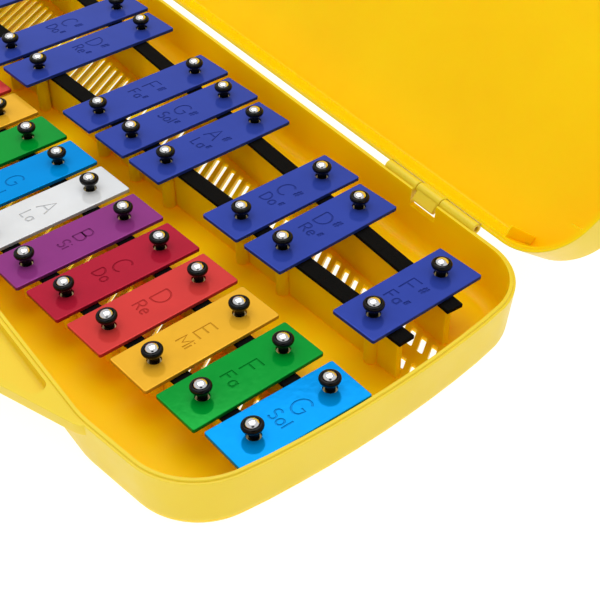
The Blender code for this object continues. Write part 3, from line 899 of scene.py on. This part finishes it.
def add_knuckles(shell, spans, way):
    rods, webs = bmesh.new(), bmesh.new()
    for first, last in spans:
        add_rod(rods, first, last, KNUCKLE_RADIUS, 38)
        heights = sorted((way * 0.0009, way * KNUCKLE_REACH))
        add_box(webs, (first + 0.0005, -AXIS_BACK - 0.0012, heights[0]), (last - 0.0005, 0.0, heights[1]),
                hinge_frame())
    rods = add_object(f"{shell.name}_rods", rods)
    bevel(rods, 0.0003, 2)
    combine(shell, rods, "UNION")
    combine(shell, add_object(f"{shell.name}_webs", webs), "UNION")


def clear_knuckles(shell, spans):
    bm = bmesh.new()
    for first, last in spans:
        add_rod(bm, first - 0.0006, last + 0.0006, KNUCKLE_RADIUS + LID_GAP, 38)
    combine(shell, add_object(f"{shell.name}_relief", bm), "DIFFERENCE")


def notch_wall(tray, spans):
    bm = bmesh.new()
    for first, last in spans:
        add_box(bm, (first - 0.0006, -AXIS_BACK - WALL - 0.002, -NOTCH_DEPTH), (last + 0.0006, 0.003, 0.004),
                hinge_frame())
    notches = add_object("tray_notches", bm)
    bevel(notches, 0.0005, 2)
    combine(tray, notches, "DIFFERENCE")


def add_tails(lid, spans):
    bm = bmesh.new()
    for first, last in spans:
        add_box(bm, (first + 0.0009, 0, -0.0022), (last - 0.0009, TONGUE_TAIL, 0.0006), hinge_frame())
    tails = add_object("lid_tails", bm)
    bevel(tails, 0.0006, 3)
    combine(lid, tails, "UNION")


def drill_pins(shell):
    bm = bmesh.new()
    for centre in HINGE_CENTRES:
        add_rod(bm, centre - HINGE_LENGTH, centre + HINGE_LENGTH, PIN_RADIUS + FIT_GAP, 20)
    combine(shell, add_object(f"{shell.name}_pin_holes", bm), "DIFFERENCE")


def latch_frame(side):
    ends = {"right": ((0.157, -0.0969), (0.023, -HANDLE_FRONT)),
            "left": ((-0.070, -HANDLE_FRONT), (-0.156, -0.1225))}[side]
    first, last = Vector(ends[0]), Vector(ends[1])
    along = (last - first).normalized()
    place = first.lerp(last, {"right": 0.58, "left": 0.5}[side])
    outward = Vector((-along.y, along.x)) * (1 if along.x < 0 else -1)
    if outward.y > 0:
        outward = -outward
    place = place + outward * LATCH_STANDOFF
    angle = math.atan2(outward.y, outward.x) - math.pi / 2
    height = RIM_Z - LATCH_PIVOT_DROP
    return Matrix.Translation((place.x, place.y, height)) @ Matrix.Rotation(angle, 4, "Z")


def add_latch_ears(tray):
    half = LATCH_LENGTH / 2 + LID_GAP
    ears, webs, holes = bmesh.new(), bmesh.new(), bmesh.new()
    for side in ("left", "right"):
        place = latch_frame(side)
        for way in (-1, 1):
            ends = sorted((way * half, way * (half + EAR_LENGTH)))
            add_cylinder(ears, place @ Vector((ends[0], 0, 0)), place @ Vector((ends[1], 0, 0)),
                         LATCH_RADIUS, 30)
            add_box(webs, (ends[0] + 0.0003, -LATCH_STANDOFF - 0.0014, -0.0013),
                    (ends[1] - 0.0003, 0, 0.0014), place)
        add_cylinder(holes, place @ Vector((-LATCH_BORE_REACH, 0, 0)),
                     place @ Vector((LATCH_BORE_REACH, 0, 0)), LATCH_BORE, 20)
    ears = add_object("latch_ears", ears)
    bevel(ears, 0.0003, 2)
    combine(tray, ears, "UNION")
    combine(tray, add_object("latch_webs", webs), "UNION")
    combine(tray, add_object("latch_holes", holes), "DIFFERENCE")


def paint_inside(item, low, high):
    """Give the faces within the walls, between two heights, the item's second finish, the copy of the
    plastic with painted bounce light.
    """
    outline = inset(case_outline(), WALL - 0.0008)
    x, y, z = np.array([face.center for face in item.data.polygons]).T
    within = np.zeros(len(x), bool)
    for index, after in enumerate(outline):
        before = outline[index - 1]
        if before.y == after.y:
            continue
        crossed = (before.y > y) != (after.y > y)
        within ^= crossed & (x < before.x + (y - before.y) * (after.x - before.x) / (after.y - before.y))
    inner = within & (z > low) & (z < high)
    item.data.polygons.foreach_set("material_index", inner.astype(np.int32))


def make_tray(finish, inner_finish):
    tray = make_shell("tray_moulding", RIM_Z, -RIM_Z, LIP_HEIGHT)
    combine(tray, slot_cutter(), "DIFFERENCE")
    combine(tray, rib_cutter(), "UNION")
    combine(tray, post_cutter(), "UNION")
    knuckles, tongues = hinge_spans()
    notch_wall(tray, tongues)
    add_knuckles(tray, knuckles, -1)
    drill_pins(tray)
    add_latch_ears(tray)
    finish_mesh(tray)
    paint(tray, finish, inner_finish)
    paint_inside(tray, 0.0008, RIM_Z - 0.0003)
    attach(tray, "case")
    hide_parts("tray")


def add_lid_ribs(lid):
    """Two thin ribs in the corner beside the right hinge: one has two steps, and one is on the end wall."""
    bm = bmesh.new()
    add_box(bm, (0.1822, -0.0098, 0.0030), (0.1833, -0.0030, 0.0190), hinge_frame())
    add_box(bm, (0.1822, -0.0098, 0.0031), (0.1833, -0.0056, LID_DEPTH - FLOOR / 2), hinge_frame())
    add_box(bm, (0.2050, -0.0246, 0.0050), (0.2120, -0.0235, 0.0200), hinge_frame())
    combine(lid, add_object("lid_ribs", bm), "UNION", True)


def make_lid(finish, inner_finish):
    lid = make_shell("lid_moulding", RIM_Z + LID_GAP, LID_DEPTH, -LIP_HEIGHT,
                     LID_INNER_ROUND, LID_OUTER_ROUND)
    knuckles, tongues = hinge_spans()
    clear_knuckles(lid, knuckles)
    add_knuckles(lid, tongues, 1)
    add_tails(lid, tongues)
    drill_pins(lid)
    add_lid_ribs(lid)
    finish_mesh(lid)
    paint(lid, finish, inner_finish)
    paint_inside(lid, RIM_Z - 0.0012, RIM_Z + LID_DEPTH - 0.0005)
    place = hinge_frame()
    lid.data.transform(place @ Matrix.Rotation(-LID_OPEN, 4, "X") @ place.inverted())
    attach(lid, "lid")
    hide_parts("lid")


def make_latch(side, finish):
    place = latch_frame(side)
    half = LATCH_LENGTH / 2
    reach = LATCH_PIVOT_DROP + LID_GAP + HANDLE_THICK + 0.0004
    name = f"{side}_latch"
    rod = bmesh.new()
    add_cylinder(rod, (-half, 0, 0), (half, 0, 0), LATCH_RADIUS, 30)
    clip = add_object(f"{name}_clip", rod)
    plate = bmesh.new()
    inner = -0.0011
    add_box(plate, (-half + 0.0003, inner, 0.0), (half - 0.0003, inner + LATCH_PLATE, reach + 0.0016))
    plate = add_object(f"{name}_plate", plate)
    bevel(plate, 0.0005, 3)
    combine(clip, plate, "UNION")
    hook = bmesh.new()
    add_box(hook, (-half + 0.0007, -LATCH_STANDOFF - 0.002, reach), (half - 0.0007, 0.0, reach + 0.0013))
    hook = add_object(f"{name}_hook", hook)
    bevel(hook, 0.0003, 2)
    combine(clip, hook, "UNION")
    for level in (0.006, 0.0078, 0.0096):
        grip = bmesh.new()
        add_cylinder(grip, (-half + 0.002, inner + LATCH_PLATE - 0.0001, level),
                     (half - 0.002, inner + LATCH_PLATE - 0.0001, level), 0.0004, 12)
        combine(clip, add_object(f"{name}_grip", grip), "UNION")
    hole = bmesh.new()
    add_cylinder(hole, (-LATCH_BORE_REACH, 0, 0), (LATCH_BORE_REACH, 0, 0), LATCH_BORE, 20)
    combine(clip, add_object(f"{name}_hole", hole), "DIFFERENCE")
    finish_mesh(clip)
    clip.data.transform(place @ Matrix.Rotation(-LATCH_HANG, 4, "X"))
    paint(clip, finish)
    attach(clip, f"latch_{side}")
    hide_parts(name)


def make_pins(copper, steel):
    for side, centre in zip(("left", "right"), HINGE_CENTRES):
        bm = bmesh.new()
        half = HINGE_LENGTH / 2 - 0.001
        add_rod(bm, centre - half, centre + half, PIN_RADIUS, 24)
        pin = add_object(f"{side}_hinge_wire", bm)
        bevel(pin, 0.0002, 2)
        finish_mesh(pin)
        paint(pin, copper)
        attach(pin, "case")
        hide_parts(f"{side}_hinge_pin")
        bm = bmesh.new()
        place = latch_frame(side)
        end = LATCH_LENGTH / 2 + EAR_LENGTH
        add_cylinder(bm, place @ Vector((-end, 0, 0)), place @ Vector((end, 0, 0)),
                     LATCH_PIN_RADIUS, 20)
        pin = add_object(f"{side}_latch_wire", bm)
        bevel(pin, 0.0002, 2)
        finish_mesh(pin)
        paint(pin, steel)
        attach(pin, "case")
        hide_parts(f"{side}_latch_pin")


# Studio

def area_light(name, place, target, size, power):
    light = bpy.data.lights.new(name, "AREA")
    light.shape = "RECTANGLE"
    light.size, light.size_y = size
    light.energy = power
    item = bpy.data.objects.new(name, light)
    bpy.context.scene.collection.objects.link(item)
    item.location = place
    item.rotation_euler = (Vector(target) - Vector(place)).to_track_quat("-Z", "Y").to_euler()


def make_studio():
    bm = bmesh.new()
    bmesh.ops.create_grid(bm, x_segments=1, y_segments=1, size=6.0)
    floor = add_object("studio_floor", bm)
    paint(floor, floor_material())
    floor.location.z = -0.0002
    world = bpy.data.worlds.new("studio")
    world.use_nodes = True
    sky = world.node_tree.nodes["Background"]
    sky.inputs["Color"].default_value = (1, 1, 1, 1)
    sky.inputs["Strength"].default_value = 0.66
    bpy.context.scene.world = world
    area_light("top_softbox", (-0.25, 0.15, 1.3), (0.1, 0, 0), (1.2, 1.2), 9)
    card = bmesh.new()
    bmesh.ops.create_circle(card, cap_ends=True, segments=48, radius=0.24)
    card = add_object("dark_card", card)
    card.location = Vector(CAMERA_PLACE) * CARD_DISTANCE
    card.rotation_euler = Vector(CARD_FACING).to_track_quat("Z", "Y").to_euler()
    paint(card, card_material())
    # Seen only in reflections: the card paints a dark reflection into the domes and glossy parts, standing
    # in for the camera, and casts no shade.
    card.visible_camera = False
    card.visible_diffuse = False
    card.visible_shadow = False
    card.visible_transmission = False
    bpy.context.scene.view_settings.view_transform = "Standard"


def make_camera():
    data = bpy.data.cameras.new("camera")
    data.lens = LENS
    data.sensor_width = 36
    data.clip_start = 0.01
    camera = bpy.data.objects.new("camera", data)
    bpy.context.scene.collection.objects.link(camera)
    place, target = Vector(CAMERA_PLACE), Vector(CAMERA_TARGET)
    camera.location = place
    camera.rotation_euler = (target - place).to_track_quat("-Z", "Y").to_euler()
    bpy.context.scene.camera = camera


def main():
    make_camera()
    make_studio()
    # One yellow plastic in two copies: the outside copy is painted paler for the white light on the outer
    # walls, and the inside copy a brighter, deeper yellow for painted yellow light bounced about inside the
    # case.
    plastic = plastic_material("yellow_plastic", (0.87, 0.64, 0.022), 0.34, 0.2)
    inner_plastic = plastic_material("yellow_plastic_inside", (1.0, 0.64, 0.0005), 0.10, 0.8)
    # The post tips are the tray's plastic, painted a paler cream for the light that falls on them in the
    # bars' holes.
    tip_plastic = plastic_material("post_tip_plastic", (0.97, 0.78, 0.36), 0.3, 0.0)
    felt = felt_material()
    sleeves = sleeve_material()
    chrome = metal_material("plated_screw", (0.86, 0.86, 0.87), 0.06, 0.12)
    copper = metal_material("copper_wire", (0.62, 0.33, 0.20), 0.22, 0.36)
    steel = metal_material("steel_wire", (0.60, 0.60, 0.62), 0.2, 0.34)
    enamels = {key: enamel_material(f"enamel_{key}", colour, 0.03 if key == "G" else 0.12)
               for key, colour in BAR_COLOURS.items()}
    # Painted shade in the engraved grooves: a darker copy of each enamel.
    darks = {key: enamel_material(f"groove_{key}", scaled(colour, 0.72), 0.05)
             for key, colour in BAR_COLOURS.items()}
    # Painted shade on the bars' sides: a darker copy of each enamel.
    sides = {key: enamel_material(f"side_{key}", scaled(colour, 0.55), 0.08)
             for key, colour in BAR_COLOURS.items()}
    make_tray(plastic, inner_plastic)
    make_lid(plastic, inner_plastic)
    for side in ("left", "right"):
        make_latch(side, plastic)
    make_pins(copper, steel)
    for row, lines, top in (("natural", NATURAL_STRIPS, NATURAL_TOP), ("sharp", SHARP_STRIPS, SHARP_TOP)):
        for side, line in zip(("front", "rear"), lines):
            make_strip(f"{row}_{side}_strip", line, top, felt)
    for bar in bar_rows():
        make_bar(*bar, enamels[bar[3]], darks[bar[3]], sides[bar[3]])
    make_fixings(sleeves, chrome, tip_plastic)


main()
